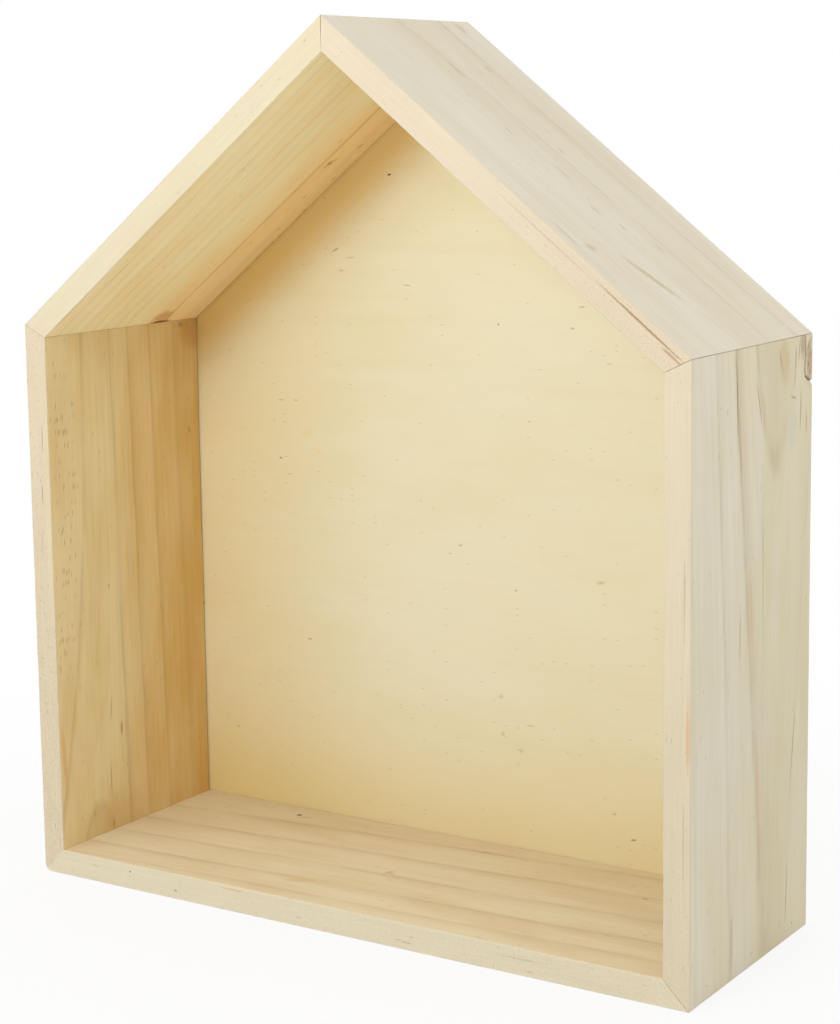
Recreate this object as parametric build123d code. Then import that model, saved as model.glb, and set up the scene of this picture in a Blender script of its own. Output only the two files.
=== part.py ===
from build123d import *
from math import atan2, cos, sin, tan
import os

# House-shaped wall shelf: an open-fronted box of five thin pine boards, mitred
# together into the outline of a small house, with a plywood back let into a
# rebate. It stands on its base or hangs on a wall from a toothed hanger.
#
# Frame: millimetres. X runs to the right as the open front is seen, Y runs from
# the open front to the wall, Z runs up. The origin is the middle of the base.

# Overall size
width = 260.0
eave_height = 198.5
ridge_height = 301.5
depth = 88.0

# Boards
board_thickness = 9.0
corner_radius = 1.5  # sanded corners of the outline, at the mitres
arris_radius = 0.6  # sanded edges of the front and the back

# Plywood back and the rebate that it sits in
panel_thickness = 3.0
rebate_width = 5.0
panel_clearance = 0.3

# Headless pins across each mitre, set below the surface and filled over
pin_diameter = 0.8
pin_length = 16.0
pin_tip_length = 1.0
pin_set_depth = 0.6
pin_edge_distance = 12.0  # from the front and from the back to the outermost pins
mitre_pin_count = 3

# Flat-wire staples that hold the plywood in its rebate
staple_crown = 10.0
staple_leg = 9.0
staple_wire_width = 1.0
staple_wire_gauge = 0.6
staple_bend_radius = 0.5
staple_corner_distance = 42.0  # from a corner of the house to the nearest staples
base_staple_count = 3
wall_staple_count = 2
roof_staple_count = 2

# Toothed hanger nailed across the ridge, on the back
hanger_length = 45.0
hanger_height = 8.0
hanger_gauge = 0.8
hanger_foot = 7.5  # flat length at each end
hanger_ramp = 2.5  # length over which the strip lifts off the wood
hanger_lift = 1.8  # free gap behind the raised middle
tooth_pitch = 2.4
tooth_depth = 1.3

# Nails of the hanger
nail_diameter = 1.4
nail_length = 12.0
nail_tip_length = 2.0
nail_head_diameter = 3.4
nail_head_height = 0.8

overrun = 1.0  # how far a cut is carried past the face that it leaves through

# Worked out from the sizes above
front = -depth / 2
back = depth / 2
half_width = width / 2
roof_pitch = atan2(ridge_height - eave_height, half_width)
panel_front = back - panel_thickness
rebate_inset = board_thickness - rebate_width
fastener_inset = rebate_inset + rebate_width / 2  # middle of the rebate's floor
nail_x = (hanger_length - hanger_foot) / 2
hanger_z = ridge_height - fastener_inset / cos(roof_pitch) - nail_x * tan(roof_pitch)
base_seat = (Align.CENTER, Align.CENTER, Align.MIN)


def house_outline(inset):
    """Corners of the house outline as X and Z, moved in from its outer faces.

    They run from the left end of the base to its right end, up to the right
    eave, the ridge and the left eave. Each mitre joins the like corners of two
    such outlines.
    """
    wall = half_width - inset
    ridge = ridge_height - inset / cos(roof_pitch)
    eave = ridge - wall * tan(roof_pitch)
    return [(-wall, inset), (wall, inset), (wall, eave), (0, ridge), (-wall, eave)]


def prism(outline, y_from, y_to):
    """Solid with an outline given as X and Z, from one Y to another."""
    face = make_face(Plane.XZ * Polyline(*outline, close=True))
    return Pos(0, y_from, 0) * extrude(face, y_to - y_from, dir=(0, 1, 0))


def house_prism(inset, y_from, y_to):
    return prism(house_outline(inset), y_from, y_to)


def sanded_box():
    """The five boards in one piece: the assembled box is sanded as a whole."""
    shell = house_prism(0, front, back)
    shell = fillet(shell.edges().filter_by(Axis.Y), corner_radius)
    ends = shell.faces().sort_by(Axis.Y)
    shell = fillet(ends[0].edges() + ends[-1].edges(), arris_radius)
    box = shell - house_prism(board_thickness, front - overrun, back + overrun)
    mouth = box.faces().sort_by(Axis.Y)[0].inner_wires()[0]
    box = fillet(mouth.edges(), arris_radius)
    return box - house_prism(rebate_inset, panel_front, back + overrun)


def mitred_board(box, corner):
    """The stretch of the box from one corner's mitre to the next corner's."""
    outer = house_outline(-board_thickness)
    inner = house_outline(2 * board_thickness)
    following = (corner + 1) % len(outer)
    wedge = [outer[corner], outer[following], inner[following], inner[corner]]
    return box & prism(wedge, front - overrun, back + overrun)


def back_panel():
    return house_prism(rebate_inset + panel_clearance, panel_front, back)


def spread(count, low, high):
    """Evenly spaced places from low to high, or the middle for a single one."""
    if count == 1:
        return [(low + high) / 2]
    return [low + (high - low) * i / (count - 1) for i in range(count)]


def pin_entries():
    """Where each pin enters an outer face, and the way it is driven.

    Each one follows the middle plane of the board whose end grain it grips.
    """
    middle = board_thickness / 2
    roof_drop = middle / cos(roof_pitch)
    ridge_x = roof_drop / (2 * tan(roof_pitch))
    eave_x = half_width - middle
    mitres = [
        ((-half_width, middle), (1, 0, 0)),
        ((half_width, middle), (-1, 0, 0)),
        ((-eave_x, ridge_height - eave_x * tan(roof_pitch)), (0, 0, -1)),
        ((eave_x, ridge_height - eave_x * tan(roof_pitch)), (0, 0, -1)),
        ((ridge_x, ridge_height - ridge_x * tan(roof_pitch)), (-cos(roof_pitch), 0, -sin(roof_pitch))),
    ]
    rows = spread(mitre_pin_count, front + pin_edge_distance, back - pin_edge_distance)
    return [(Vector(x, y, z), Vector(way)) for (x, z), way in mitres for y in rows]


def pointed_wire(diameter, length, tip_length):
    """A straight wire from the origin along Z, pointed at its far end."""
    shank = Cylinder(diameter / 2, length - tip_length, align=base_seat)
    tip = Cone(diameter / 2, diameter / 8, tip_length, align=base_seat)
    return shank + Pos(0, 0, length - tip_length) * tip


def mitre_pins():
    pin = pointed_wire(pin_diameter, pin_length, pin_tip_length)
    return [Plane(entry + way * pin_set_depth, z_dir=way) * pin for entry, way in pin_entries()]


def pin_fillers():
    """A plug of filler over each pin, sanded level with the board."""
    plug = Cylinder(pin_diameter / 2, overrun + pin_set_depth, align=base_seat)
    house = house_prism(0, front, back)
    return [(Plane(entry - way * overrun, z_dir=way) * plug) & house for entry, way in pin_entries()]


def staple():
    """One staple, its crown's back at the origin along X and its legs along Y."""
    outside = Pos(0, staple_leg / 2) * Rectangle(staple_crown, staple_leg)
    outside = fillet(outside.vertices().group_by(Axis.Y)[0], staple_bend_radius)
    inside = Rectangle(staple_crown - 2 * staple_wire_gauge, staple_leg)
    wire = outside - Pos(0, staple_wire_gauge + staple_leg / 2) * inside
    return extrude(wire, staple_wire_width / 2, both=True)


def panel_staples():
    """Staples along the middle of the rebate, level with the back of the plywood."""
    corners = house_outline(fastener_inset)
    rising = [wall_staple_count, roof_staple_count]
    counts = [base_staple_count] + rising + rising[::-1]
    one = staple()
    staples = []
    for i, count in enumerate(counts):
        (x0, z0), (x1, z1) = corners[i], corners[(i + 1) % len(corners)]
        start, end = Vector(x0, back, z0), Vector(x1, back, z1)
        along = (end - start).normalized()
        length = (end - start).length
        for place in spread(count, staple_corner_distance, length - staple_corner_distance):
            seat = Plane(start + along * place, x_dir=along, z_dir=along.cross(Vector(0, -1, 0)))
            staples.append(seat * one)
    return staples


def hanger_nails():
    """The two nails, through the middle of each foot into the roof boards."""
    shank = pointed_wire(nail_diameter, nail_length, nail_tip_length)
    head = Cylinder(nail_head_diameter / 2, nail_head_height, align=base_seat)
    head = fillet(head.edges().sort_by(Axis.Z)[-1], nail_head_height / 2)
    nail = head + Rot(180, 0, 0) * shank
    out = Plane((0, back + hanger_gauge, hanger_z), x_dir=(-1, 0, 0), z_dir=(0, 1, 0))
    return [out * Pos(side * nail_x, 0, 0) * nail for side in (-1, 1)]


def toothed_hanger():
    """A strip of steel with flat feet, a raised middle and teeth along its lower edge."""
    end = hanger_length / 2
    knee = end - hanger_foot
    shoulder = knee - hanger_ramp
    under = [(-end, 0), (-knee, 0), (-shoulder, hanger_lift)]
    under += [(-x, y) for x, y in reversed(under)]
    over = [(x, y + hanger_gauge) for x, y in reversed(under)]
    strip = extrude(make_face(Polyline(*under, *over, close=True)), hanger_height / 2, both=True)
    ends = Plane.XZ * SlotOverall(hanger_length, hanger_height)
    strip = strip & extrude(ends, hanger_lift + hanger_gauge + overrun, both=True)
    lower = -hanger_height / 2
    notches_each_side = int(shoulder / tooth_pitch - 0.5)
    for i in range(-notches_each_side, notches_each_side + 1):
        x = i * tooth_pitch
        notch = [(x - tooth_pitch / 2, lower), (x + tooth_pitch / 2, lower), (x, lower + tooth_depth)]
        strip -= prism(notch, 0, hanger_lift + hanger_gauge + overrun)
    return Pos(0, back, hanger_z) * strip


box = sanded_box()
names = ["bottom_board", "right_side_board", "right_roof_board", "left_roof_board", "left_side_board"]
nodes = {name: mitred_board(box, i) for i, name in enumerate(names)}
nodes["back_panel"] = back_panel()
nodes["toothed_hanger"] = toothed_hanger()

fasteners = {
    "mitre_pins": mitre_pins(),
    "pin_fillers": pin_fillers(),
    "panel_staples": panel_staples(),
    "hanger_nails": hanger_nails(),
}
driven = [piece for group in fasteners.values() for piece in group]
for name in nodes:
    nodes[name] -= driven
for name, group in fasteners.items():
    nodes[name] = Compound([solid for piece in group for solid in piece.solids()])

os.makedirs("parts", exist_ok=True)
for name, shape in nodes.items():
    shape.label = name
    export_step(shape, f"parts/{name}.step")
    print(name, len(shape.solids()), "solid(s)", round(shape.volume, 1), "mm3")
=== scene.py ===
from math import atan2, cos, radians, sin, tan

import bmesh
import bpy
import numpy as np
from mathutils import Euler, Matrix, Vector


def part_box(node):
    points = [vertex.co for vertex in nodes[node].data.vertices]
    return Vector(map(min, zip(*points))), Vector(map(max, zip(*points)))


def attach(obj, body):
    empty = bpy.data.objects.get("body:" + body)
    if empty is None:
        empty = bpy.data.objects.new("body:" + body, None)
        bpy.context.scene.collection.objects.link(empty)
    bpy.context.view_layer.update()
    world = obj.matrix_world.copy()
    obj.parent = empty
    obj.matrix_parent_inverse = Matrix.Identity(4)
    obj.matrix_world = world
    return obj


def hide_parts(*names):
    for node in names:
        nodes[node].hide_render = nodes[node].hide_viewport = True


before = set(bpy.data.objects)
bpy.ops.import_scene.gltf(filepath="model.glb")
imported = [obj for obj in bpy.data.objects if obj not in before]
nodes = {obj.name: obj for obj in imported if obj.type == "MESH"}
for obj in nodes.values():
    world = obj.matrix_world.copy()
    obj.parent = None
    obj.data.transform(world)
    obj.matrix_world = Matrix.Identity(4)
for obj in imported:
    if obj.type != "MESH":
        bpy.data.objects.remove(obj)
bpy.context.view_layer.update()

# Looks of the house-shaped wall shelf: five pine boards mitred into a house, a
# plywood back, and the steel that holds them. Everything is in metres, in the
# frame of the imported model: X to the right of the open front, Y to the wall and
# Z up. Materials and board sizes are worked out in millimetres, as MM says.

MM = 0.001


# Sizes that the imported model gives, in millimetres
bottom_low, bottom_high = (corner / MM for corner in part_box("bottom_board"))
half_width = bottom_high.x
board_thickness = bottom_high.z
front = bottom_low.y
back = bottom_high.y
panel_low, panel_high = (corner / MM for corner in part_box("back_panel"))
panel_front = panel_low.y
panel_inset = panel_low.z
panel_points = [v.co / MM for v in nodes["back_panel"].data.vertices]
panel_eave = max(point.z for point in panel_points if point.x > panel_high.x - 0.01)
roof_pitch = atan2(panel_high.z - panel_eave, panel_high.x)
ridge_height = panel_high.z + panel_inset / cos(roof_pitch)
panel_clearance = 0.3  # between the plywood's edge and the wall of the rebate
rebate_inset = panel_inset - panel_clearance

# Sanding of the boards, in millimetres
corner_radii = [3.0, 0.3, 0.35, 0.45, 0.6]  # in the order of the outline's corners
arris_radii = {"outer_back": (0.1, 0.3), "inner_front": (0.2, 0.55), "outer_front": (0.15, 0.5)}
arris_margin = 1.0  # from a sharp corner to the first point of the flat face beside it
arris_steps = 4
# Gap between each board's rebate and the plywood, at its tightest and its widest
PANEL_GAPS = [(0.15, 0.5), (0.08, 0.45), (0.1, 0.5), (0.45, 0.8), (0.45, 0.8)]
face_step = 1.4
fine_step = 0.35  # around the split of the right side board
split_from = (180.0, 34.0)  # the height and the y at which the finer steps begin
end_steps = (0.25, 0.5, 0.8, 1.2, 1.7, 2.3, 3.1, 4.0)
waviness = 0.03  # how far sanding dips a face below flat
least_radius = 0.05  # of a rounded corner, under the outer face

BOARDS = ["bottom_board", "right_side_board", "right_roof_board", "left_roof_board", "left_side_board"]
# Opening of each mitre at its outer and its inner edge, in the order of the outline's corners
MITRE_GAPS = [(0.03, 0.04), (0.26, 0.24), (0.17, 0.12), (0.30, 0.05), (0.20, 0.16)]


def house_outline(inset):
    """Corners of the house as X and Z, from the left end of the base round to the left eave."""
    wall = half_width - inset
    ridge = ridge_height - inset / cos(roof_pitch)
    eave = ridge - wall * tan(roof_pitch)
    corners = [(-wall, inset), (wall, inset), (wall, eave), (0, ridge), (-wall, eave)]
    return [np.array(corner) for corner in corners]


class Board:
    """Where a board lies: u runs along it from its first corner, n goes in through its thickness."""

    def __init__(self, index):
        outline = house_outline(0)
        count = len(outline)
        self.index = index
        self.name = BOARDS[index]
        self.start = outline[index]
        self.end = outline[(index + 1) % count]
        self.length = np.linalg.norm(self.end - self.start)
        self.along = (self.end - self.start) / self.length
        self.inward = np.array([-self.along[1], self.along[0]])
        before = self.start - outline[index - 1]
        after = outline[(index + 2) % count] - self.end
        self.before = before / np.linalg.norm(before)
        self.after = after / np.linalg.norm(after)
        self.lean_start = self.mitre_lean(self.before, self.along)
        self.lean_end = self.mitre_lean(self.along, self.after)

    @staticmethod
    def mitre_lean(first, second):
        """How far along the board its mitre moves for each millimetre inwards."""
        turn = np.arccos(np.clip(first @ second, -1, 1))
        return tan(turn / 2)

    def place(self, u, n):
        """X and Z of a point of the board."""
        return self.start + np.multiply.outer(u, self.along) + np.multiply.outer(n, self.inward)


def smooth_noise(rng, positions, spacing):
    """Random values between 0 and 1 that change smoothly along positions, one knot each spacing."""
    low = positions.min()
    knots = rng.random(int((positions.max() - low) / spacing) + 3)
    place = (positions - low) / spacing
    whole = np.floor(place).astype(int)
    part = place - whole
    ease = part * part * (3 - 2 * part)
    return knots[whole] * (1 - ease) + knots[whole + 1] * ease


def ripples(rng, u, across, wavelength, count=7):
    """A gently uneven surface between 0 and 1, longer along the grain than across it."""
    total = np.zeros(np.broadcast(u, across).shape)
    for _ in range(count):
        k_along = rng.normal() / wavelength
        k_across = 3.0 * rng.normal() / wavelength
        total = total + np.sin(k_along * u + k_across * across + rng.random() * 6.3)
    return np.clip(0.5 + total / (2.2 * count), 0, 1)


def stations(length, fine_from=None, fine_to=None):
    """Fractions of a board's length at which its section is repeated, closer at its ends."""
    ends = np.array(end_steps)
    middle = np.arange(end_steps[-1] + face_step, length - end_steps[-1] - face_step / 2, face_step)
    places = np.concatenate([[0], ends, middle, length - ends[::-1], [length]])
    if fine_from is not None:
        coarse = places[(places < fine_from) | (places > fine_to)]
        places = np.sort(np.concatenate([coarse, np.arange(fine_from, fine_to, fine_step)]))
    return places / length


def section_points(fine_back):
    """The section as a list of (n, y, arris).

    arris is None, "lip" for the edge that faces the plywood across a narrow
    gap, or which rounded corner and how far round it.
    """
    turns = np.linspace(0, 1, arris_steps + 1)
    points = []
    face_ys = np.linspace(front + arris_margin, back - arris_margin, int((back - front) / face_step))
    if fine_back:
        fine_ys = np.arange(split_from[1], back - arris_margin, fine_step)
        face_ys = np.concatenate([face_ys[face_ys < split_from[1]], fine_ys])
    points += [(0, y, None) for y in face_ys]
    points += [(0, 0, ("outer_back", turn)) for turn in turns]
    points += [(n, back, None) for n in (arris_margin + 0.6, rebate_inset - 0.1)]
    points += [(rebate_inset, back - 0.1, None), (rebate_inset, panel_front + 0.02, None)]
    points += [(rebate_inset + 0.8, panel_front, None)]
    points += [(n, panel_front, "lip") for n in (board_thickness - 3.2, board_thickness)]
    inner_count = int((panel_front - front) / face_step)
    inner_ys = np.linspace(panel_front - 1.2, front + arris_margin, inner_count)
    points += [(board_thickness, y, None) for y in inner_ys]
    points += [(0, 0, ("inner_front", turn)) for turn in turns]
    edge_ns = np.linspace(board_thickness - arris_margin, arris_margin, 9)
    points += [(n, front, None) for n in edge_ns]
    points += [(0, 0, ("outer_front", turn)) for turn in turns]
    return points


def round_arris(kind, turn, radius):
    """n and y of a point on a rounded arris, for an array of radii along the board."""
    angle = turn * radians(90)
    if kind == "outer_back":
        return radius * (1 - cos(angle)), back - radius * (1 - sin(angle))
    if kind == "inner_front":
        return board_thickness - radius * (1 - cos(angle)), front + radius * (1 - sin(angle))
    return radius * (1 - sin(angle)), front + radius * (1 - cos(angle))


# The split at the top of the right side board's back edge, as (height, y) along its crack
crack_path = [(199.0, 38.4), (192.5, 38.7), (188.0, 38.0), (185.6, 38.6), (184.4, 40.6), (183.2, 44.5)]
crack_width = 0.38
crack_depth = 0.7
nick_height = 183.0
nick_half = 1.3  # half of the nick's height
nick_reach = 1.1  # how far the nick eats into the back edge
nick_inset = 3.9  # how far it goes in from the outer face


def crack_distance(u, y):
    """Distance of each point of the outer face from the crack."""
    nearest = np.full(u.shape, 1e3)
    for (u0, y0), (u1, y1) in zip(crack_path, crack_path[1:]):
        run = np.array([u1 - u0, y1 - y0])
        share = ((u - u0) * run[0] + (y - y0) * run[1]) / (run @ run)
        share = np.clip(share, 0, 1)
        nearest = np.minimum(nearest, np.hypot(u - u0 - share * run[0], y - y0 - share * run[1]))
    return nearest


def board_mesh(board):
    """The board as a dense mesh: sanded arrises, rounded corners, uneven faces, open mitres, and
    painted shade along the crack as a point attribute.
    """
    rng = np.random.default_rng(20 + board.index)
    cracked = board.name == "right_side_board"
    if cracked:
        shares = stations(board.length, split_from[0], board.length - 0.8)
    else:
        shares = stations(board.length)
    points = section_points(cracked)
    travel = shares * board.length
    radii = {}
    for kind, (low, high) in arris_radii.items():
        slow = smooth_noise(rng, travel, 9)
        quick = smooth_noise(rng, travel, 2.2)
        radii[kind] = low + (high - low) * (0.65 * slow + 0.35 * quick)
    tight, wide = PANEL_GAPS[board.index]
    opening = tight + (wide - tight) * smooth_noise(rng, travel, 38) ** 2
    rows, columns = len(shares), len(points)
    n = np.zeros((rows, columns))
    y = np.zeros((rows, columns))
    for k, (point_n, point_y, arris) in enumerate(points):
        if arris is None:
            n[:, k], y[:, k] = point_n, point_y
        elif arris == "lip":
            n[:, k], y[:, k] = point_n, point_y - opening
        else:
            n[:, k], y[:, k] = round_arris(*arris, radii[arris[0]])
    count = len(BOARDS)
    gap_start = MITRE_GAPS[board.index]
    gap_end = MITRE_GAPS[(board.index + 1) % count]
    deep = n / board_thickness
    u_start = n * board.lean_start + mitre_opening(rng, y, deep, gap_start)
    u_end = board.length - n * board.lean_end - mitre_opening(rng, y, deep, gap_end)
    u = u_start + (u_end - u_start) * shares[:, None]

    # Sanding leaves the faces a little uneven, always below the flat
    on_outer = n < 0.01
    on_inner = n > board_thickness - 0.01
    on_front = y < front + 0.01
    dip = waviness * ripples(rng, u, y, 18)
    edge_dip = 1.4 * waviness * ripples(rng, u, n, 9)
    n_moved = n + np.where(on_outer, dip, 0) - np.where(on_inner, dip, 0)
    y_moved = y + np.where(on_front, edge_dip, 0)
    # Painted shade along the crack of the right side board, kept as a point attribute for its material
    painted_crack_shade = np.zeros_like(n)
    if cracked:
        gap = crack_distance(u, y)
        groove = np.exp(-((gap / crack_width) ** 2))
        n_moved = n_moved + np.where(n < 2.0, crack_depth * groove, 0)
        nick = nick_reach * np.clip(1 - np.abs(u - nick_height) / nick_half, 0, 1)
        y_moved = np.where((n < nick_inset) & (y > back - nick), back - nick, y_moved)
        painted_crack_shade = np.where(n < 2.0, groove, 0)

    xz = board.place(u, n_moved)
    for corner, radius, first, second in (
        (board.start, corner_radii[board.index], board.before, board.along),
        (board.end, corner_radii[(board.index + 1) % count], board.along, board.after),
    ):
        xz = round_corner(xz, n, corner, radius, first, second)

    vertices = np.stack([xz[..., 0], y_moved, xz[..., 1]], -1).reshape(-1, 3) * MM
    index = np.arange(rows * columns).reshape(rows, columns)
    following = np.roll(index, -1, axis=1)
    quads = np.stack([index[:-1], following[:-1], following[1:], index[1:]], -1).reshape(-1, 4)
    faces = quads.tolist() + [index[0].tolist()[::-1], index[-1].tolist()]
    mesh = bpy.data.meshes.new(board.name)
    mesh.from_pydata(vertices.tolist(), [], faces)
    mark = mesh.attributes.new("painted_crack_shade", "FLOAT", "POINT")
    mark.data.foreach_set("value", painted_crack_shade.astype(np.float32).ravel())
    tidy = bmesh.new()
    tidy.from_mesh(mesh)
    bmesh.ops.recalc_face_normals(tidy, faces=tidy.faces)
    tidy.to_mesh(mesh)
    tidy.free()
    mesh.shade_smooth()
    mesh.set_sharp_from_angle(angle=radians(35))
    return mesh


def mitre_opening(rng, y, deep, gap):
    """How far a board's end stands back from its mitre plane: about half of the gap, unevenly."""
    outer, inner = gap
    across = y[0] + 0 * deep
    ragged = 0.35 + 0.9 * smooth_noise(rng, across, 7) + 0.35 * smooth_noise(rng, across, 1.7)
    return 0.5 * (outer + (inner - outer) * deep) * ragged


def round_corner(xz, n, corner, radius, first, second):
    """Pulls what lies outside the sanded corner back onto its arc."""
    normal_first = np.array([-first[1], first[0]])
    normal_second = np.array([-second[1], second[0]])
    centre = corner + (normal_first + normal_second) * radius / (1 + normal_first @ normal_second)
    offset = xz - centre
    reach = np.linalg.norm(offset, axis=-1)
    limit = np.maximum(radius - n, least_radius)
    outside = (offset @ first > 0) & (offset @ second < 0) & (reach > limit) & (n < radius)
    scale = np.where(outside, limit / np.maximum(reach, 1e-9), 1)
    return centre + offset * scale[..., None]


class Nodes:
    """Builds a node tree. A socket or a plain number can stand wherever a value is asked for."""

    def __init__(self, owner):
        owner.use_nodes = True
        self.tree = owner.node_tree
        self.tree.nodes.clear()

    def node(self, kind, *values, **settings):
        made = self.tree.nodes.new(kind)
        for key, value in settings.items():
            setattr(made, key, value)
        for socket, value in zip(made.inputs, values):
            self.feed(socket, value)
        return made

    def feed(self, socket, value):
        if value is None:
            return
        if isinstance(value, bpy.types.NodeSocket):
            self.tree.links.new(value, socket)
        else:
            socket.default_value = value

    def math(self, operation, *values, clamp=False):
        return self.node("ShaderNodeMath", *values, operation=operation, use_clamp=clamp).outputs[0]

    def add(self, *values):
        total = values[0]
        for value in values[1:]:
            total = self.math("ADD", total, value)
        return total

    def multiply(self, *values):
        total = values[0]
        for value in values[1:]:
            total = self.math("MULTIPLY", total, value)
        return total

    def subtract(self, a, b):
        return self.math("SUBTRACT", a, b)

    def vector(self, operation, *values):
        return self.node("ShaderNodeVectorMath", *values, operation=operation)

    def join(self, x, y, z):
        return self.node("ShaderNodeCombineXYZ", x, y, z).outputs[0]

    def scale(self, colour, amount):
        made = self.vector("SCALE", colour)
        self.feed(made.inputs["Scale"], amount)
        return made.outputs[0]

    def millimetres(self):
        """The shaded point in the object's own millimetres."""
        here = self.node("ShaderNodeTexCoord").outputs["Object"]
        return self.vector("MULTIPLY", here, (1 / MM, 1 / MM, 1 / MM)).outputs[0]

    def xyz(self, vector):
        return self.node("ShaderNodeSeparateXYZ", vector).outputs

    def ease(self, value, low, high, to_low=0.0, to_high=1.0):
        """Smooth step from to_low at low to to_high at high."""
        bounds = (low, high, to_low, to_high)
        ranged = self.node("ShaderNodeMapRange", value, *bounds, interpolation_type="SMOOTHSTEP")
        return ranged.outputs[0]

    def seen_directly(self):
        """1 for rays from the camera and in reflections and glass, and 0 for light."""
        rays = self.node("ShaderNodeLightPath").outputs
        either = self.math("MAXIMUM", rays["Is Camera Ray"], rays["Is Glossy Ray"])
        return self.math("MAXIMUM", either, rays["Is Transmission Ray"])

    def blend(self, share, first, second, output):
        """Mixes two shaders into the output node of the given kind."""
        mixed = self.node("ShaderNodeMixShader", share, first, second).outputs[0]
        self.node(output, mixed)

    def noise(self, coordinates, detail=2.0, roughness=0.5):
        """Soft noise from 0 to 1, one blob to each unit of the coordinates."""
        made = self.node("ShaderNodeTexNoise", noise_dimensions="3D")
        self.feed(made.inputs["Vector"], coordinates)
        self.feed(made.inputs["Scale"], 1.0)
        self.feed(made.inputs["Detail"], detail)
        self.feed(made.inputs["Roughness"], roughness)
        return made.outputs["Fac"]

    def mix(self, share, first, second, blend="MIX"):
        made = self.node("ShaderNodeMix", data_type="RGBA", blend_type=blend, clamp_factor=True)
        self.feed(made.inputs["Factor"], share)
        for name, value in (("A", first), ("B", second)):
            socket = next(s for s in made.inputs if s.name == name and s.type == "RGBA")
            self.feed(socket, value)
        return next(s for s in made.outputs if s.type == "RGBA")

    def ramp(self, value, stops):
        """A ramp of grey levels, from (position, level) pairs within 0 to 1."""
        made = self.node("ShaderNodeValToRGB", value)
        elements = made.color_ramp.elements
        while len(elements) < len(stops):
            elements.new(0.5)
        for element, (position, level) in zip(elements, sorted(stops)):
            element.position = min(max(position, 0), 1)
            element.color = (level, level, level, 1)
        return made.outputs[0]


class Shader(Nodes):
    """One node material."""

    def __init__(self, name):
        self.material = bpy.data.materials.new(name)
        super().__init__(self.material)

    def finish(self, colour, roughness, height, bump, reach, specular, metallic=0.0):
        """Ends the material. The height bumps the surface by up to the reach, in millimetres."""
        shader = self.node("ShaderNodeBsdfPrincipled")
        self.feed(shader.inputs["Base Color"], colour)
        self.feed(shader.inputs["Roughness"], roughness)
        shader.inputs["Specular IOR Level"].default_value = specular
        shader.inputs["Metallic"].default_value = metallic
        bumped = self.node("ShaderNodeBump")
        self.feed(bumped.inputs["Strength"], bump)
        self.feed(bumped.inputs["Distance"], reach * MM)
        self.feed(bumped.inputs["Height"], height)
        self.feed(shader.inputs["Normal"], bumped.outputs[0])
        self.node("ShaderNodeOutputMaterial", shader.outputs[0])
        return self.material


def srgb(red, green, blue):
    """A colour written as screen values from 0 to 255, made linear, with full alpha."""
    linear = []
    for channel in (red / 255, green / 255, blue / 255):
        if channel <= 0.04045:
            linear.append(channel / 12.92)
        else:
            linear.append(((channel + 0.055) / 1.055) ** 2.4)
    return (*linear, 1.0)


def board_coordinates(s, board):
    """u, n and y of the shaded point in millimetres, as sockets, and the three as one vector."""
    here = s.node("ShaderNodeTexCoord").outputs["Object"]
    corner = (board.start[0] * MM, 0, board.start[1] * MM)
    from_corner = s.vector("SUBTRACT", here, corner).outputs[0]
    scaled = s.vector("MULTIPLY", from_corner, (1 / MM, 1 / MM, 1 / MM)).outputs[0]
    u = s.vector("DOT_PRODUCT", scaled, (board.along[0], 0, board.along[1])).outputs["Value"]
    n = s.vector("DOT_PRODUCT", scaled, (board.inward[0], 0, board.inward[1])).outputs["Value"]
    y = s.vector("DOT_PRODUCT", scaled, (0, 1, 0)).outputs["Value"]
    return u, n, y, s.join(u, n, y)


def stretched(s, u, n, y, along, across, shift):
    """Coordinates for noise whose blobs are along mm long and across mm wide."""
    return s.join(
        s.math("MULTIPLY_ADD", u, 1 / along, shift),
        s.math("MULTIPLY_ADD", n, 1 / across, shift),
        s.math("MULTIPLY_ADD", y, 1 / across, shift),
    )


def round_growth(s, u, n, y, figure):
    """Distance from the pith, for a board cut close to it, whose rings meet in a tongue."""
    level, slope, bow = figure["depth"]
    depth = s.add(level, s.multiply(u, slope), s.multiply(s.multiply(u, u), bow))
    aside = s.subtract(y, figure["centre"])
    below = s.subtract(depth, n)
    return s.math("SQRT", s.add(s.multiply(aside, aside), s.multiply(below, below)))


def flat_growth(s, u, n, y, figure, length):
    """Distance outwards from the pith, for a board whose rings run nearly straight.

    front_drift and back_drift say how far a ring moves along the board, as the
    amount in all and the power of the share travelled, towards the front and
    towards the back of it.
    """
    share = s.math("DIVIDE", u, length, clamp=True)
    drifts = []
    for amount, power in (figure["front_drift"], figure["back_drift"]):
        drifts.append(s.multiply(s.math("POWER", share, power), amount))
    at_back = s.ease(y, *figure["drift_blend"])
    drift = s.add(drifts[0], s.multiply(at_back, s.subtract(drifts[1], drifts[0])))
    ring = s.add(s.subtract(y, drift), s.multiply(n, figure["tilt"]))
    return s.multiply(ring, figure["outward"])


def ring_lines(s, growth, rings, line_width):
    """Darkness of the latewood, from rings given as (place, strength, width of the soft side)."""
    low = min(place - soft for place, _, soft in rings) - 1
    high = max(place for place, _, _ in rings) + line_width + 1
    span = high - low
    stops = []
    for place, strength, soft in sorted(rings):
        stops += [(place - soft, 0), (place - line_width, 0.4 * strength)]
        stops += [(place, strength), (place + line_width, 0)]
    normal = s.math("DIVIDE", s.subtract(growth, low), span)
    return s.ramp(normal, [((place - low) / span, level) for place, level in stops])


def ragged_rim(s, u, n, y, shift):
    """Unevenness for the outline of marks, along the grain more than across it."""
    rough = s.noise(stretched(s, u, n, y, 1.6, 0.6, shift), 2.0)
    return s.multiply(s.subtract(rough, 0.5), 0.9)


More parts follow.
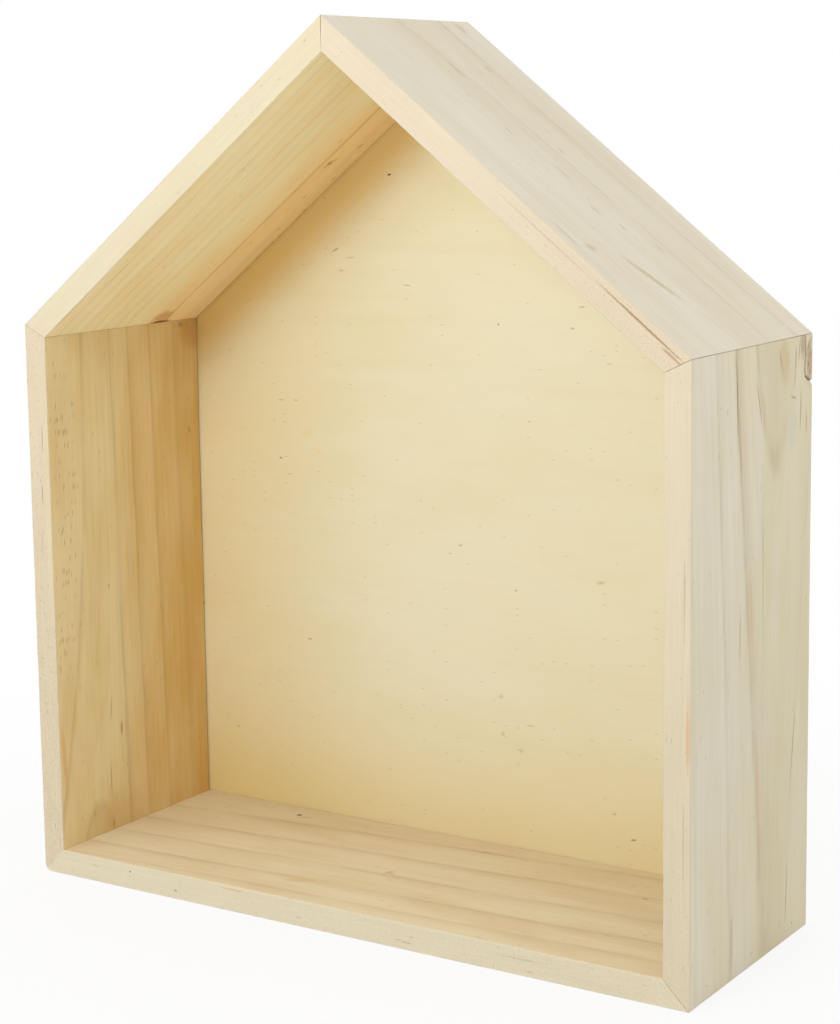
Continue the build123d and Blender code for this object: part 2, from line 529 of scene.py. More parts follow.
def mark(s, colour, here, spot, ragged):
    """Lays one named mark over a colour: a knot, a streak, a fleck, a discoloured spot, or a patch of
    painted shade.
    """
    (u0, n0, y0), (along, deep, across), turn, tint, strength = spot
    away = s.vector("SUBTRACT", here, (u0, n0, y0)).outputs[0]
    if turn:
        turned = s.node("ShaderNodeVectorRotate", rotation_type="Y_AXIS")
        s.feed(turned.inputs["Vector"], away)
        s.feed(turned.inputs["Angle"], radians(turn))
        away = turned.outputs[0]
    scaled = s.vector("MULTIPLY", away, (1 / along, 1 / deep, 1 / across)).outputs[0]
    reach = s.vector("LENGTH", scaled).outputs["Value"]
    shaped = s.ease(s.add(reach, ragged), 1.15, 0.35, 0.0, strength)
    return s.mix(shaped, colour, tint)


def specks(s, u, across, size, share, radius, lean=0.0, shift=0.0):
    """Short dark dashes along the grain: 1 in a dash and 0 elsewhere.

    size is the length and the width of the cells, and at most one dash lies in
    each; share is how many of them have one.
    """
    length, width = size
    leaning = s.math("MULTIPLY_ADD", u, lean, across)
    cells = s.node("ShaderNodeTexVoronoi", voronoi_dimensions="2D", feature="F1")
    place = s.join(
        s.math("MULTIPLY_ADD", u, 1 / length, shift),
        s.math("MULTIPLY_ADD", leaning, 1 / width, shift),
        0.0,
    )
    s.feed(cells.inputs["Vector"], place)
    s.feed(cells.inputs["Scale"], 1.0)
    chance = s.node("ShaderNodeSeparateColor", cells.outputs["Color"]).outputs[0]
    chosen = s.math("GREATER_THAN", chance, 1 - share)
    return s.multiply(chosen, s.ease(cells.outputs["Distance"], radius, 0.35 * radius))


def pine(board, figure):
    """Sanded raw pine of one board, with the growth rings, fibres and marks that its figure names.
    Some of the marks and the crack's darkening are painted shade, and the warmer inside colours are
    partly painted bounce light.
    """
    s = Shader("pine_" + board.name)
    shift = 3.7 * board.index + 1.3
    u, n, y, here = board_coordinates(s, board)

    # The grain wanders slowly along the board and shivers a little
    slow_wander, quick_wander = figure["wander"]
    slow = s.noise(stretched(s, u, n, y, 70, 22, shift), 1.0)
    quick = s.noise(stretched(s, u, n, y, 16, 4.0, shift + 5), 2.0)
    wander = s.add(
        s.multiply(s.subtract(slow, 0.5), slow_wander),
        s.multiply(s.subtract(quick, 0.5), quick_wander),
    )
    if figure["kind"] == "round":
        growth = round_growth(s, u, n, y, figure)
    else:
        growth = flat_growth(s, u, n, y, figure, board.length)
    growth = s.add(growth, wander)

    # Colour from the broad tone, the latewood lines and the fibres
    cloud = s.noise(stretched(s, u, n, y, 60, 14, shift + 9), 3.0)
    tone = s.ease(cloud, 0.3, 0.75, 0.0, 0.5)
    for low, high, weight in figure["tones"]:
        tone = s.add(tone, s.multiply(s.ease(y, low, high), weight))
    colour = s.mix(tone, figure["pale"], figure["tan"])
    uneven = s.noise(stretched(s, u, n, y, 30, 6, shift + 13), 3.0)
    patchy = s.ease(uneven, 0.25, 0.7, 0.35, 1.15)
    lines = s.multiply(ring_lines(s, growth, figure["rings"], figure["line_width"]), patchy)
    for pitch, strength, low, high in figure["fine"]:
        wave = s.math("PINGPONG", growth, pitch / 2)
        thin = s.ease(wave, pitch * 0.24, 0.0, 0.0, strength)
        inside = s.multiply(s.ease(y, low - 4, low), s.ease(y, high + 5, high))
        lines = s.math("MAXIMUM", lines, s.multiply(thin, inside, patchy))
    low, high, level = figure["fade"]
    lines = s.multiply(lines, s.ease(y, low, high, 1.0, level))
    low, high, level = figure["strong_from"]
    lines = s.multiply(lines, s.ease(u, low, high, level, 1.0))
    # The outer face and rear edge go paler than the inside, whose warmer colours are partly painted
    # bounce light
    outside = s.math("MAXIMUM", s.ease(n, 1.0, 0.2), s.ease(y, back - 1.0, back - 0.2))
    colour = s.mix(s.multiply(outside, figure["outside"]), colour, srgb(230, 220, 197))
    on_edge = s.ease(y, front + 0.9, front + 0.2)
    lines = s.multiply(lines, s.ease(on_edge, 0.0, 1.0, 1.0, figure["edge_lines"]))
    colour = s.mix(s.multiply(on_edge, 0.75), colour, figure["edge"])
    colour = s.mix(lines, colour, figure["line"])
    fibres = s.noise(stretched(s, u, n, y, 9, 0.33, shift + 17), 3.0, 0.65)
    streaks = s.noise(stretched(s, u, n, y, 32, 1.1, shift + 21), 2.0)
    shade = s.add(
        1.0,
        s.multiply(s.subtract(fibres, 0.5), figure["fibre"]),
        s.multiply(s.subtract(streaks, 0.5), 0.11),
    )
    colour = s.scale(colour, shade)

    # Pits and resin ducts are short dashes, and the sawn front edge is rough
    ragged = ragged_rim(s, u, n, y, shift + 25)
    across = s.add(y, n)
    duct_share, duct_low, duct_high, duct_end, lean = figure["ducts"]
    ducts = specks(s, u, across, (5.0, 0.8), duct_share, 0.32, lean, shift)
    zone = s.multiply(
        s.ease(y, duct_low - 5, duct_low + 1),
        s.ease(y, duct_high + 3, duct_high - 1),
        s.ease(u, duct_end + 8, duct_end - 8),
    )
    clusters = s.noise(stretched(s, u, n, y, 11, 7, shift + 29), 1.0)
    ducts = s.multiply(ducts, zone, s.ease(clusters, 0.42, 0.6, 0.1, 1.0))
    colour = s.mix(s.multiply(ducts, 0.6), colour, figure["duct"])
    stray = specks(s, u, across, (7.0, 1.1), 0.015, 0.2, 0.05, shift + 31)
    colour = s.mix(s.multiply(stray, 0.4), colour, figure["duct"])
    grit_scale, grit_strength, grit_from, grit_to = figure["grit"]
    grit = s.noise(stretched(s, u, n, y, grit_scale, grit_scale * 0.7, shift + 35), 1.0, 0.4)
    grit_zone = s.multiply(on_edge, s.ease(u, grit_from, grit_to, 0.12, 1.0))
    grit_share = s.multiply(s.ease(grit, 0.46, 0.64), grit_zone, grit_strength)
    colour = s.mix(grit_share, colour, figure["grit_tint"])
    pits = specks(s, u, across, (1.5, 0.9), figure["pits"], 0.24, 0.0, shift + 41)
    pits = s.multiply(pits, on_edge)
    colour = s.mix(s.multiply(pits, 0.6), colour, figure["pit_tint"])
    for spot in figure["marks"]:
        colour = mark(s, colour, here, spot, ragged)
    # Painted shade darkens the groove of the crack on the right side board
    if board.name == "right_side_board":
        painted_crack_shade = s.node("ShaderNodeAttribute", attribute_name="painted_crack_shade").outputs["Fac"]
        colour = s.mix(s.multiply(painted_crack_shade, 0.9), colour, srgb(96, 68, 42))

    height = s.add(
        s.multiply(fibres, 0.6),
        s.multiply(lines, 0.4),
        s.multiply(grit, grit_zone, -2.2),
        s.multiply(s.math("MAXIMUM", ducts, pits), -1.0),
    )
    dry = s.add(s.multiply(fibres, 0.5), s.multiply(lines, -0.4))
    roughness = s.ease(dry, -0.3, 0.5, 0.52, 0.72)
    return s.finish(colour, roughness, height, bump=0.4, reach=0.07, specular=0.28)


def plywood():
    """Rotary-cut veneer of the back: pale, faint level grain, soft clouds and a few flecks, with
    painted amber shade towards the left and the bottom and a painted shadow under the left roof.
    """
    s = Shader("plywood")
    here = s.millimetres()
    x, y, z = s.xyz(here)
    cloud = s.noise(stretched(s, x, y, z, 60, 24, 2.0), 3.0)
    bands = s.noise(stretched(s, x, y, z, 120, 5, 6.0), 3.0)
    fibres = s.noise(stretched(s, x, y, z, 7, 0.4, 9.0), 3.0, 0.6)
    colour = s.mix(s.ease(cloud, 0.3, 0.75), srgb(249, 242, 211), srgb(247, 237, 200))
    banded = s.multiply(s.ease(bands, 0.5, 0.8), 0.15)
    colour = s.mix(banded, colour, srgb(240, 222, 174))
    below_roof = s.add(s.multiply(z, -cos(roof_pitch)), s.multiply(x, sin(roof_pitch)), roof_reach)
    inside = s.ease(y, panel_front + 1.5, panel_front + 0.5)
    # Painted shade: the inner face goes amber towards the left wall and the bottom, where less light
    # reaches it
    painted_amber_shade = s.add(s.ease(x, -20, -118, 0.0, 0.4), s.ease(z, 62, 8, 0.0, 0.6))
    colour = s.mix(s.multiply(painted_amber_shade, inside), colour, srgb(242, 220, 158))
    # Painted shadow of the left roof board: an amber band below its inner face, on the front of the
    # plywood
    painted_roof_shadow = s.multiply(s.ease(below_roof, 24, 3, 0.0, 0.85), inside)
    colour = s.mix(painted_roof_shadow, colour, srgb(225, 187, 104))
    shade = s.add(1.0, s.multiply(s.subtract(fibres, 0.5), 0.05))
    colour = s.scale(colour, shade)
    dashes = specks(s, x, z, (5.0, 1.2), 0.03, 0.2, 0.03, 4.0)
    colour = s.mix(s.multiply(dashes, 0.3), colour, srgb(176, 140, 88))
    ragged = ragged_rim(s, x, y, z, 3.0)
    for place, half, turn, tint, strength in PLY_FLECKS:
        spot = ((place[0], panel_front, place[1]), (half[0], 1.0, half[1]), turn, tint, strength)
        colour = mark(s, colour, here, spot, ragged)
    height = s.add(s.multiply(fibres, 0.7), s.multiply(bands, 0.3))
    roughness = s.ease(fibres, 0.3, 0.7, 0.5, 0.66)
    return s.finish(colour, roughness, height, bump=0.25, reach=0.08, specular=0.3)


# From the origin square up to the inner face of the left roof board
roof_reach = (ridge_height - board_thickness / cos(roof_pitch)) * cos(roof_pitch)

BROWN = srgb(150, 108, 62)
DARK = srgb(92, 66, 40)
GREY = srgb(160, 148, 122)
RUST = srgb(176, 112, 72)
PIT = srgb(176, 158, 128)

# Flecks of the veneer: (x, z), half length and half height, turn, colour and strength
PLY_FLECKS = [
    ((-31.6, 248.9), (0.9, 0.45), 8, DARK, 0.95),
    ((-55.7, 221.7), (2.2, 0.45), 25, BROWN, 0.5),
    ((-53.2, 214.2), (1.6, 0.35), 0, BROWN, 0.4),
    ((-49.0, 219.0), (2.5, 0.3), 5, BROWN, 0.3),
    ((-24.8, 209.7), (1.8, 0.25), 0, RUST, 0.5),
    ((46.3, 204.5), (1.5, 0.35), 8, RUST, 0.45),
    ((42.7, 197.0), (1.0, 0.4), 0, BROWN, 0.45),
    ((13.1, 197.2), (0.4, 0.35), 0, DARK, 0.8),
    ((57.0, 185.5), (1.6, 0.25), -6, BROWN, 0.35),
    ((-81.5, 165.3), (1.7, 0.3), 0, BROWN, 0.35),
    ((-74.8, 165.5), (0.9, 0.3), 0, BROWN, 0.4),
    ((-70.0, 153.7), (3.6, 1.8), 30, srgb(246, 226, 166), 0.55),
    ((-65.0, 147.0), (3.2, 1.0), -30, srgb(246, 226, 166), 0.5),
    ((-82.4, 143.4), (0.8, 0.4), -10, DARK, 0.7),
    ((-78.5, 137.5), (1.1, 0.3), 0, BROWN, 0.35),
    ((25.4, 163.8), (0.5, 0.3), 0, DARK, 0.5),
    ((-3.5, 117.3), (1.2, 0.4), 10, BROWN, 0.45),
    ((-8.0, 114.0), (1.2, 0.25), 0, BROWN, 0.3),
    ((53.5, 109.4), (2.0, 0.7), 12, srgb(214, 186, 128), 0.5),
    ((19.4, 103.2), (0.5, 0.35), 0, BROWN, 0.6),
    ((-70.7, 75.3), (1.3, 0.4), 10, BROWN, 0.4),
    ((13.0, 63.9), (1.2, 1.0), 0, srgb(206, 178, 118), 0.4),
    ((13.7, 50.3), (1.0, 1.0), 0, srgb(206, 178, 118), 0.4),
    ((21.2, 45.0), (1.1, 0.9), 0, srgb(206, 178, 118), 0.45),
    ((25.0, 54.8), (2.2, 0.3), 0, BROWN, 0.3),
    ((-105.5, 36.8), (0.9, 0.4), 0, BROWN, 0.4),
    ((66.2, 19.5), (1.5, 0.5), 14, DARK, 0.55),
    ((58.7, 27.8), (1.0, 0.4), 14, BROWN, 0.35),
]

# How each board is figured. Depth is y, from the open front to the wall, and places
# along a board are millimetres from its first corner, in the order of the outline.
#   kind: "round" near the pith, whose centre and depth below the face are given, or
#     "flat", with its drifts, tilt and outward side as flat_growth takes them
#   wander: how far the grain strays, slowly and quickly
#   rings: (place, darkness, width of the soft side) of each latewood line
#   line_width: half width of such a line at its darkest
#   fine: (spacing, darkness, from, to) of sets of faint lines, by depth
#   fade: from which depth to which the lines fade, and what is left of them
#   strong_from: from where to where along the board the lines grow strong, and their start
#   tones: (from, to, amount) of the change from pale to tan, by depth
#   pale, tan, line, edge: colours of the wood, of its lines and of the front edge
#   outside: how far the outer face and the rear edge are paler than the inside, whose warmer, brighter
#       colours are partly the pine's own and partly painted bounce light
#   edge_lines: how much of the lines shows on the front edge
#   fibre: contrast of the fibres
#   ducts: share of cells with a dash, from and to which depth, how far along, and their lean
#   duct: colour of the dashes
#   grit: size, darkness, and where along the front edge it grows
#   pits: share of cells with a pit, on the front edge
#   marks: (u, n, y), half sizes along, through and across, turn, colour, strength
EVEN = (0, 1, 1.0)
right_side_figure = {
    "kind": "round",
    "centre": 16.5,
    "depth": (39.2, -0.0105, -0.00028),
    "wander": (0.8, 0.7),
    "rings": [
        (30.2, 0.44, 38.0),
        (40.0, 0.70, 4.5),
        (50.9, 0.34, 3.5),
        (60.0, 0.08, 3.0),
        (68.4, 0.22, 2.0),
    ],
    "line_width": 0.8,
    "fine": [(3.4, 0.07, -44, 44)],
    "fade": (12, 26, 0.22),
    "strong_from": (80, 185, 0.55),
    "tones": [(-12, 12, 0.30)],
    "pale": srgb(238, 229, 207),
    "tan": srgb(228, 215, 174),
    "outside": 0.0,
    "line": srgb(176, 148, 104),
    "edge": srgb(229, 214, 184),
    "edge_lines": 0.25,
    "fibre": 0.11,
    "ducts": (0.0, 0, 0, 0, 0.0),
    "duct": GREY,
    "grit": (0.5, 0.22, 120, 0),
    "grit_tint": srgb(208, 188, 150),
    "pits": 0.01,
    "pit_tint": PIT,
    "marks": [
        ((110, 0, -9.5), (10.5, 2, 0.5), 0, GREY, 0.45),
        ((182, 0, -12.5), (16, 2, 0.45), -3, srgb(140, 122, 92), 0.7),
        ((180.5, 0, -19.3), (1.3, 1, 0.3), 10, GREY, 0.6),
        ((181, 0, 3.3), (9, 2, 0.4), -16, srgb(150, 134, 106), 0.65),
        ((116, 0, -1.5), (16, 2, 1.6), -4, srgb(222, 188, 150), 0.5),
        ((60, 0, 4.0), (22, 2, 1.6), -4, srgb(222, 192, 158), 0.5),
        ((192, 0, 22.0), (9, 1, 5.0), -8, srgb(214, 186, 140), 0.5),
        ((192, 0, 19.5), (5, 1, 0.5), -18, BROWN, 0.4),
        ((188, 0, 30.5), (8, 1, 0.7), 4, BROWN, 0.3),
        ((179.5, 0, 29.5), (0.5, 1, 2.4), 12, GREY, 0.6),
        ((170, 0, 29.0), (9, 1, 4.2), 6, srgb(220, 214, 190), 0.5),
        ((175, 0, 35.0), (8, 1, 0.6), 3, GREY, 0.6),
        ((171, 0, 39.5), (5, 1, 0.5), -3, BROWN, 0.45),
        ((130, 0, 7.0), (34, 2, 0.5), -1, GREY, 0.35),
        ((66, 0, 31.5), (16, 2, 0.35), 8, BROWN, 0.55),
        ((16, 0, 27.3), (13, 2, 0.35), 3, BROWN, 0.5),
        ((12, 0, -14.5), (12, 2, 1.2), 0, GREY, 0.35),
        ((196, 0, 36.5), (5.5, 2, 2.8), 0, BROWN, 0.45),
        ((190, 0, 41.5), (8.5, 1.5, 2.8), 0, srgb(190, 160, 124), 0.8),
        ((195, 0, 40.6), (1.6, 1, 0.35), 25, BROWN, 0.8),
        ((192, 0, 42.0), (1.3, 1, 0.3), 30, BROWN, 0.8),
        ((189, 0, 40.8), (1.5, 1, 0.35), 20, BROWN, 0.8),
        ((186.5, 0, 42.4), (1.2, 1, 0.3), 30, BROWN, 0.8),
        ((197, 0, 42.6), (1.2, 1, 0.3), 30, BROWN, 0.7),
        ((194, 0, 33.5), (4.5, 1, 0.4), 8, BROWN, 0.6),
        ((193, 0, 31.0), (3.5, 1, 0.35), 4, BROWN, 0.5),
        ((86, 0.8, front), (13, 0.8, 1.2), 0, srgb(228, 188, 132), 0.7),
        ((128, 2.0, front), (16, 0.35, 1.0), 0, BROWN, 0.25),
        ((52, 2.2, front), (16, 0.4, 1.0), 0, BROWN, 0.2),
    ],
}
right_roof_figure = {
    "kind": "flat",
    "front_drift": (-12.5, 2.2),
    "back_drift": (-8.5, 0.75),
    "drift_blend": (8, 22),
    "tilt": 0.5,
    "outward": 1,
    "wander": (1.6, 0.8),
    "rings": [(-6.0, 0.10, 4.0), (11.5, 0.40, 9.0), (33.0, 0.46, 6.0), (42.0, 0.12, 3.0)],
    "line_width": 1.3,
    "fine": [(4.0, 0.05, -44, 44)],
    "fade": EVEN,
    "strong_from": EVEN,
    "tones": [(-22, 10, 0.22), (26, 44, -0.25)],
    "pale": srgb(227, 219, 198),
    "tan": srgb(218, 203, 174),
    "outside": 0.0,
    "line": srgb(200, 180, 142),
    "edge": srgb(234, 217, 189),
    "edge_lines": 0.1,
    "fibre": 0.09,
    "ducts": (0.07, -12, 32, 200, 0.05),
    "duct": srgb(186, 170, 138),
    "grit": (0.45, 0.42, 125, 15),
    "grit_tint": srgb(212, 180, 138),
    "pits": 0.04,
    "pit_tint": srgb(196, 168, 128),
    "marks": [
        ((34, 0, -17.3), (13.0, 2, 1.9), -19, srgb(198, 180, 140), 0.7),
        ((12, 0, -9.2), (9, 2, 0.5), -8, srgb(200, 182, 146), 0.4),
        ((95, 0, 11.7), (1.9, 1, 1.2), 0, srgb(196, 184, 156), 0.6),
        ((137.5, 0, 1.8), (5.5, 1, 1.0), -5, PIT, 0.4),
        ((138.5, 0, 22.5), (1.8, 1, 0.9), 0, srgb(196, 172, 132), 0.5),
        ((57, 0, -39), (8, 1, 1.0), 0, PIT, 0.3),
        ((50, 0, -33), (2.4, 1, 2.6), 20, srgb(200, 182, 150), 0.6),
        ((106, 0, -7), (2.4, 1, 0.9), 0, PIT, 0.3),
        ((66, 0, -7), (3.2, 1, 1.1), 0, PIT, 0.3),
        ((57, 0, -2), (2.4, 1, 0.9), 0, PIT, 0.35),
        ((105, 0, 16.5), (2.4, 1, 0.6), 0, PIT, 0.3),
        ((124, 0, -8), (1.6, 1, 0.8), 0, PIT, 0.25),
        ((84, 0, -2), (5, 1, 1.5), 0, srgb(206, 190, 158), 0.5),
        ((46, 0, 6.3), (2.6, 1, 1.0), 0, PIT, 0.3),
        ((161, 0, 34), (3.6, 1, 2.2), 0, PIT, 0.3),
        ((19, 2.4, front), (21, 0.45, 1.0), 0, srgb(166, 122, 84), 0.75),
        ((5, 3.6, front), (6, 0.5, 1.0), 0, srgb(176, 130, 90), 0.6),
        ((60, 3.0, front), (24, 0.4, 1.0), 0, BROWN, 0.22),
    ],
}
left_roof_figure = {
    "kind": "flat",
    "front_drift": (-2.5, 1.0),
    "back_drift": (-1.0, 1.0),
    "drift_blend": (0, 20),
    "tilt": 0.5,
    "outward": 1,
    "wander": (1.2, 0.8),
    "rings": [(26.5, 0.62, 2.0), (40.0, 0.20, 4.0)],
    "line_width": 0.8,
    "fine": [(6.1, 0.16, -42, 3), (2.2, 0.07, -42, 14)],
    "fade": EVEN,
    "strong_from": EVEN,
    "tones": [(4, 26, 0.65)],
    "pale": srgb(247, 235, 192),
    "tan": srgb(245, 208, 144),
    "outside": 0.8,
    "line": srgb(192, 148, 84),
    "edge": srgb(228, 217, 189),
    "edge_lines": 0.1,
    "fibre": 0.10,
    "ducts": (0.012, -30, 40, 200, 0.1),
    "duct": srgb(176, 138, 86),
    "grit": (0.8, 0.15, 160, 20),
    "grit_tint": srgb(224, 206, 168),
    "pits": 0.01,
    "pit_tint": srgb(214, 190, 146),
    "marks": [
        ((66.5, 9, 25.5), (1.1, 2, 0.9), -28, srgb(134, 74, 26), 0.95),
        ((66.5, 9, 25.5), (3.6, 2, 1.8), -28, srgb(206, 150, 92), 0.5),
        ((57, 9, 34.0), (1.6, 1, 0.5), -20, BROWN, 0.55),
        ((75.5, 9, 37.8), (1.6, 1, 0.5), -20, BROWN, 0.5),
        ((86, 9, 31.0), (1.3, 1, 0.6), -20, BROWN, 0.4),
        ((105.5, 9, 35.3), (1.6, 1, 0.5), -25, BROWN, 0.5),
        ((94.5, 9, 40.0), (1.4, 1, 0.5), 0, BROWN, 0.45),
        ((113, 9, 26.5), (1.2, 1, 0.5), 0, BROWN, 0.4),
        ((54, 9, 18.0), (2.0, 1, 0.5), 0, BROWN, 0.3),
        ((157, 9, 17.0), (4.4, 2, 6.0), 0, srgb(196, 134, 84), 0.6),
        ((160.6, 9, 18.5), (1.2, 2, 6.5), 0, srgb(124, 58, 34), 0.95),
        ((9.7, 2.4, front), (0.8, 0.5, 1.0), 0, GREY, 0.3),
    ],
}
left_side_figure = {
    "kind": "flat",
    "front_drift": (-23.7, 2.47),
    "back_drift": (5.0, 1.0),
    "drift_blend": (-32, -4),
    "tilt": -0.4,
    "outward": -1,
    "wander": (0.9, 0.9),
    "rings": [
        (29.0, 0.30, 2.4),
        (14.0, 0.31, 2.2),
        (3.8, 0.32, 6.0),
        (-8.6, 0.30, 3.0),
        (-22.8, 0.22, 4.0),
    ],
    "line_width": 0.9,
    "fine": [(3.1, 0.08, -26, 44)],
    "fade": EVEN,
    "strong_from": EVEN,
    "tones": [(-14, 8, 0.36), (10, 34, 0.32)],
    "pale": srgb(240, 221, 175),
    "tan": srgb(223, 183, 111),
    "outside": 0.75,
    "line": srgb(174, 132, 70),
    "edge": srgb(229, 214, 188),
    "edge_lines": 0.2,
    "fibre": 0.08,
    "ducts": (0.34, -41, -31, 128, 0.16),
    "duct": srgb(150, 112, 66),
    "grit": (0.8, 0.30, 0, 190),
    "grit_tint": srgb(206, 192, 164),
    "pits": 0.12,
    "pit_tint": srgb(168, 150, 122),
    "marks": [
        ((152.5, 9, -10.0), (3.0, 1, 0.8), 0, BROWN, 0.5),
        ((144, 9, -15.5), (6, 1, 0.35), -6, BROWN, 0.5),
        ((170, 9, -16.6), (8, 1, 0.35), 0, BROWN, 0.5),
        ((187.5, 9, -16.0), (2.4, 1, 0.35), 0, DARK, 0.8),
        # Painted shade in the top back corner of the inner face, under the roof board
        ((8, 9, 38), (10, 1, 9), 0, srgb(190, 130, 62), 0.45),
        ((98, 9, -14.5), (1.3, 1, 0.35), 0, BROWN, 0.5),
        ((46.5, 9, 34.5), (1.6, 1, 0.5), 8, BROWN, 0.6),
        ((115, 9, 40.5), (1.2, 1, 0.5), 0, DARK, 0.6),
        ((6, 9, 31.0), (1.2, 1, 2.0), 0, srgb(150, 146, 112), 0.7),
        ((156, 9, -41.5), (14, 2, 1.2), 3, srgb(224, 172, 104), 0.5),
        # Painted shade: broad amber darkening at the foot of the inner face, beside the bottom board
        ((188, 9, -14), (14, 1, 22.0), 0, srgb(206, 162, 96), 0.35),
        ((40, 6.3, front), (5.5, 0.25, 1.0), 0, srgb(140, 112, 82), 0.6),
        ((60, 5.4, front), (4.5, 0.25, 1.0), 0, srgb(150, 108, 80), 0.6),
        ((78, 4.6, front), (7.0, 0.25, 1.0), 0, srgb(186, 140, 116), 0.5),
        ((60, 8.0, front), (60, 1.3, 1.0), 0, srgb(234, 218, 178), 0.5),
    ],
}
bottom_figure = {
    "kind": "flat",
    "front_drift": (12.5, 0.8),
    "back_drift": (23.0, 0.75),
    "drift_blend": (-30, 40),
    "tilt": 0.4,
    "outward": 1,
    "wander": (2.4, 0.8),
    "rings": [
        (-40.0, 0.30, 4.5),
        (-27.5, 0.42, 5.0),
        (-12.5, 0.34, 6.5),
        (3.5, 0.42, 5.0),
        (20.0, 0.44, 5.0),
    ],
    "line_width": 1.5,
    "fine": [(3.6, 0.04, -44, 44)],
    "fade": EVEN,
    "strong_from": EVEN,
    "tones": [(-10, 30, 0.12)],
    "pale": srgb(231, 217, 187),
    "tan": srgb(219, 193, 151),
    "outside": 0.5,
    "line": srgb(190, 156, 104),
    "edge": srgb(238, 228, 201),
    "edge_lines": 0.2,
    "fibre": 0.11,
    "ducts": (0.012, -44, 44, 280, 0.0),
    "duct": srgb(170, 140, 96),
    "grit": (0.8, 0.20, 0, 200),
    "grit_tint": srgb(208, 190, 158),
    "pits": 0.015,
    "pit_tint": PIT,
    "marks": [
        ((58.5, 9, 32.5), (1.4, 2, 1.1), 30, srgb(104, 74, 38), 0.95),
        ((62, 9, 31), (4, 1, 0.8), 20, srgb(176, 140, 88), 0.4),
        ((124, 9, -4.6), (2.0, 2, 1.4), 60, srgb(204, 156, 96), 0.6),
        ((126, 9, -6.0), (0.9, 2, 0.6), 20, srgb(172, 124, 76), 0.6),
        ((102, 9, -27), (6, 1, 2.2), 20, srgb(218, 180, 122), 0.45),
        ((213, 9, 16.5), (1.5, 1, 0.8), -20, BROWN, 0.5),
        ((142, 9, 30.5), (2.4, 1, 1.0), 10, srgb(190, 160, 112), 0.5),
        ((40, 6.4, front), (0.5, 0.5, 1.0), 0, DARK, 0.9),
        ((60.5, 3.0, front), (0.8, 0.4, 1.0), 20, BROWN, 0.7),
        ((157, 2.6, front), (2.6, 0.3, 1.0), 0, BROWN, 0.4),
        ((24, 5.8, front), (2.5, 0.6, 1.0), -20, srgb(206, 184, 142), 0.4),
        ((86, 7.8, front), (6, 0.5, 1.0), 0, srgb(226, 192, 138), 0.6),
        ((200, 5.5, front), (9, 0.35, 1.0), 0, BROWN, 0.2),
    ],
}
FIGURES = [bottom_figure, right_side_figure, right_roof_figure, left_roof_figure, left_side_figure]


def steel(name, colour, roughness_low, roughness_high, grain):
    """Bright or plated steel, faintly scratched and clouded."""
    s = Shader(name)
    x, y, z = s.xyz(s.millimetres())
    scratches = s.noise(stretched(s, x, y, z, grain, 0.25, 1.0), 3.0)
    cloud = s.noise(stretched(s, x, y, z, 6.0, 4.0, 4.0), 2.0)
    dull = (*(0.78 * channel for channel in colour[:3]), 1.0)
    tinted = s.mix(s.ease(cloud, 0.35, 0.7), colour, dull)
    roughness = s.ease(scratches, 0.3, 0.7, roughness_low, roughness_high)
    return s.finish(tinted, roughness, scratches, bump=0.15, reach=0.02, specular=0.5, metallic=1.0)


def filler():
    """Wood filler over the pins, sanded level and close to the colour of the pine."""
    s = Shader("pin_filler")
    grains = s.noise(s.vector("MULTIPLY", s.millimetres(), (4.0, 4.0, 4.0)).outputs[0], 2.0)
    colour = s.mix(s.ease(grains, 0.3, 0.7), srgb(236, 226, 203), srgb(230, 218, 190))
    roughness = s.ease(grains, 0.3, 0.7, 0.7, 0.85)
    return s.finish(colour, roughness, grains, bump=0.3, reach=0.05, specular=0.2)


def dress(node_name, material):
    """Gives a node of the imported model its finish."""
    node = nodes[node_name]
    node.data.materials.clear()
    node.data.materials.append(material)


def build_boards():
    for index, figure in enumerate(FIGURES):
        board = Board(index)
        piece = bpy.data.objects.new("pine_" + board.name, board_mesh(board))
        bpy.context.scene.collection.objects.link(piece)
        piece.data.materials.append(pine(board, figure))
        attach(piece, "root")
        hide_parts(board.name)


def build_floor():
    """A plain pale floor. The camera sees it white, with the object's own soft shadow on it."""
    half = 0.5
    mesh = bpy.data.meshes.new("floor")
    corners = [(-half, -half, 0), (half, -half, 0), (half, half, 0), (-half, half, 0)]
    mesh.from_pydata(corners, [], [(0, 1, 2, 3)])
    floor = bpy.data.objects.new("floor", mesh)
    bpy.context.scene.collection.objects.link(floor)
    s = Shader("floor")
    away = s.vector("LENGTH", s.node("ShaderNodeTexCoord").outputs["Object"]).outputs["Value"]
    shaded = s.node("ShaderNodeBsdfDiffuse", (0.86, 0.86, 0.86, 1.0)).outputs[0]
    white = s.node("ShaderNodeEmission", WHITE, 1.0).outputs[0]
    whiteness = s.multiply(s.seen_directly(), s.ease(away, 0.16, 0.42, floor_whiteness, 1.0))
    s.blend(whiteness, shaded, white, "ShaderNodeOutputMaterial")
    mesh.materials.append(s.material)


def build_world():
    """Even studio light, brighter from above and below. The camera sees plain white."""
    world = bpy.data.worlds.new("studio")
    s = Nodes(world)
    upward = s.xyz(s.node("ShaderNodeTexCoord").outputs["Generated"])["Z"]
    below = s.ease(upward, 0.02, -0.25, 0.0, low_world_strength)
    above = s.ease(upward, 0.3, 0.9, 0.0, high_world_strength)
    light = s.node("ShaderNodeBackground", WHITE, s.add(world_strength, below, above)).outputs[0]
    white = s.node("ShaderNodeBackground", WHITE, 1.0).outputs[0]
    s.blend(s.seen_directly(), light, white, "ShaderNodeOutputWorld")
    bpy.context.scene.world = world


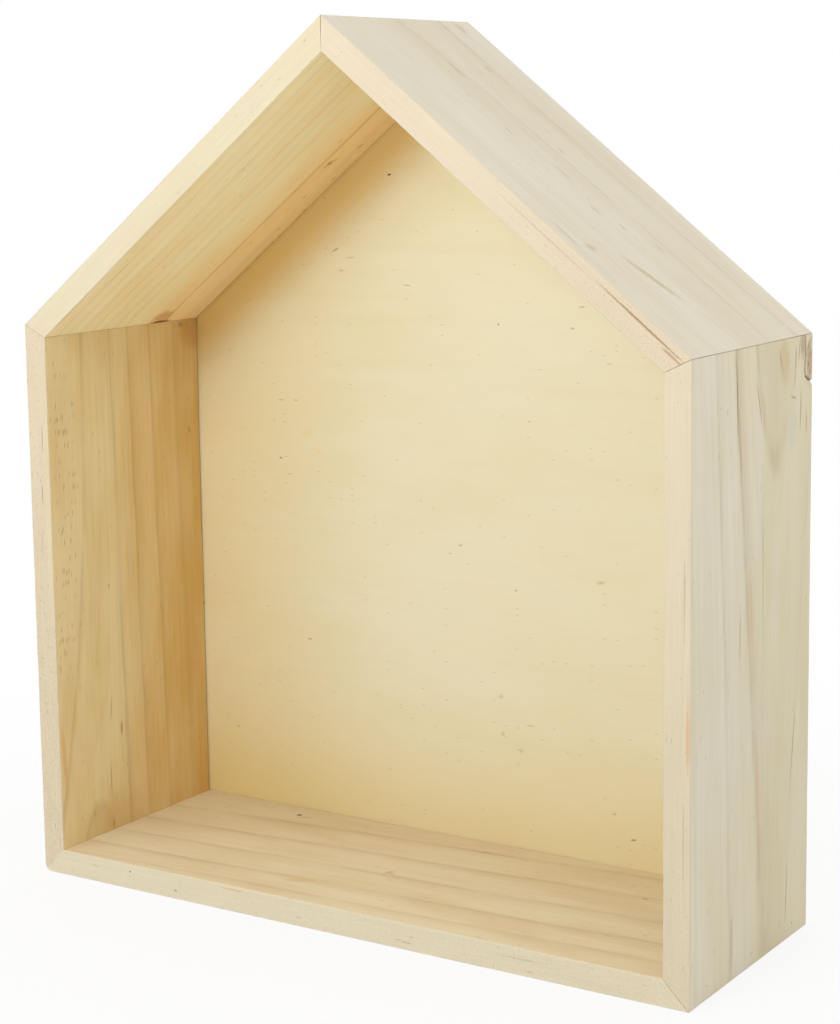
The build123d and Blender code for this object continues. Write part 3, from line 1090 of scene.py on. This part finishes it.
def softbox(name, azimuth, elevation, distance, size, power):
    """A square area lamp aimed at the middle of the shelf. Azimuth 0 is straight in front."""
    data = bpy.data.lights.new(name, "AREA")
    data.shape = "SQUARE"
    data.size = size
    data.energy = power
    lamp = bpy.data.objects.new(name, data)
    turn = radians(azimuth)
    rise = radians(elevation)
    away = Vector((sin(turn) * cos(rise), -cos(turn) * cos(rise), sin(rise)))
    lamp.location = Vector(shelf_middle) + away * distance
    lamp.rotation_euler = away.to_track_quat("Z", "Y").to_euler()
    bpy.context.scene.collection.objects.link(lamp)


# Light of the studio
WHITE = (1.0, 1.0, 1.0, 1.0)
shelf_middle = (0, 0, 0.15)
world_strength = 0.22
low_world_strength = 1.10
high_world_strength = 1.06
floor_whiteness = 0.82  # of the floor near the shelf, where the rest is its own shade


def build_camera():
    data = bpy.data.cameras.new("camera")
    data.lens = 79.673
    data.sensor_width = 36.0
    data.sensor_fit = "AUTO"
    data.shift_x = -0.02447
    data.shift_y = -0.06608
    data.clip_start = 0.01
    data.clip_end = 50.0
    camera = bpy.data.objects.new("camera", data)
    camera.location = Vector((419.44, -633.97, 270.77)) * MM
    camera.rotation_euler = Euler([radians(angle) for angle in (81.652, 0.679, 32.335)], "XYZ")
    bpy.context.scene.collection.objects.link(camera)
    bpy.context.scene.camera = camera


build_camera()
build_boards()
dress("back_panel", plywood())
dress("mitre_pins", steel("pin_steel", srgb(190, 190, 192), 0.25, 0.45, 3.0))
dress("pin_fillers", filler())
dress("panel_staples", steel("staple_steel", srgb(176, 177, 180), 0.22, 0.40, 2.0))
dress("toothed_hanger", steel("hanger_steel", srgb(178, 177, 172), 0.28, 0.45, 8.0))
dress("hanger_nails", steel("nail_steel", srgb(196, 180, 138), 0.2, 0.35, 1.5))
build_floor()
build_world()
softbox("key", azimuth=0, elevation=28, distance=0.75, size=0.25, power=1.3)
softbox("left", azimuth=-45, elevation=15, distance=1.4, size=0.7, power=1.5)
softbox("right", azimuth=75, elevation=8, distance=1.5, size=1.0, power=1.8)
softbox("rear", azimuth=185, elevation=20, distance=1.6, size=0.8, power=4.0)
bpy.context.scene.view_settings.view_transform = "Standard"
